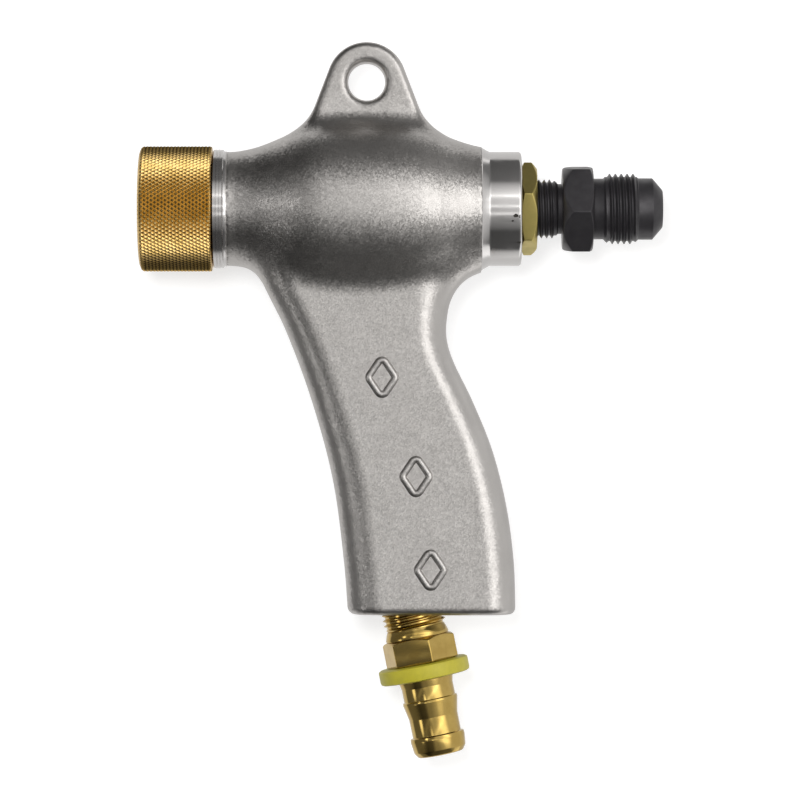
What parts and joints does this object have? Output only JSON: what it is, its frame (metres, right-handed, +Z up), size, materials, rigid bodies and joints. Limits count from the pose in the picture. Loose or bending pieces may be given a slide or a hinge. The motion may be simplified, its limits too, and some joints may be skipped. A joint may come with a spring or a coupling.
{
  "type": "suction blast gun",
  "caption": "Cast aluminium pistol-grip suction blast gun with a hanging eye, knurled nozzle nut, adjustable rear air jet and a push-on hose barb under the grip.",
  "frame": {"origin": "middle of the nozzle's outlet, on the barrel axis, in the plane of the nozzle nut's front face", "axes": "-X along the barrel axis, the way the abrasive leaves; +X to the air inlet; +Z up to the hanging eye; -Z down the grip; -Y the gun's left side"},
  "size_m": [0.141, 0.0464, 0.1932],
  "materials": {
    "cast_aluminium": "tumbled casting, satin, with a fine sparkle; turned at the nose and the collar",
    "nut_brass": "diamond knurl, slightly tarnished gold",
    "jacket_aluminium": "turned",
    "nozzle_ceramic": "matt sintered ceramic",
    "seal_rubber": "matt black",
    "jet_steel": "black oxide over turned and milled steel",
    "lock_nut_brass": "turned, dull greenish brass",
    "barb_brass": "turned, bright",
    "ring_plastic": "moulded, yellow-green"
  },
  "bodies": {
    "gun": {"gun_body": "cast_aluminium", "hose_barb": "barb_brass"},
    "nozzle": {"nozzle_jacket": "jacket_aluminium", "nozzle_liner": "nozzle_ceramic", "nozzle_washer": "seal_rubber"},
    "nut": {"nozzle_nut": "nut_brass"},
    "jet_seal": {"jet_o_ring": "seal_rubber"},
    "jet": {"air_jet": "jet_steel"},
    "lock_nut": {"jet_lock_nut": "lock_nut_brass"},
    "ring": {"hose_ring": "ring_plastic"}
  },
  "joints": [
    {"name": "nozzle_advance", "type": "slide", "parent": "gun", "child": "nozzle", "axis": [-1, 0, 0], "range_m": [0, 0.01058]},
    {"name": "nut_turn", "type": "hinge", "parent": "nozzle", "child": "nut", "pos_m": [0.01, 0, 0], "axis": [-1, 0, 0], "range_deg": [0, 1800]},
    {"name": "jet_advance", "type": "slide", "parent": "gun", "child": "jet_seal", "axis": [1, 0, 0], "range_m": [-0.00493, 0.00987]},
    {"name": "jet_turn", "type": "hinge", "parent": "jet_seal", "child": "jet", "pos_m": [0.118, 0, 0], "axis": [1, 0, 0], "range_deg": [-1260, 2520]},
    {"name": "lock_nut_turn", "type": "hinge", "parent": "gun", "child": "lock_nut", "pos_m": [0.105, 0, 0], "axis": [1, 0, 0], "range_deg": [0, 90]},
    {"name": "ring_spin", "type": "hinge", "parent": "gun", "child": "ring", "pos_m": [0.0767, 0, -0.12449], "axis": [0.1977, 0, -0.9803], "continuous": true}
  ],
  "couplings": [
    {"joint": "nut_turn", "follows": "nozzle_advance", "rad_per_m": 2968.4},
    {"joint": "jet_turn", "follows": "jet_advance", "rad_per_m": 4453}
  ]
}
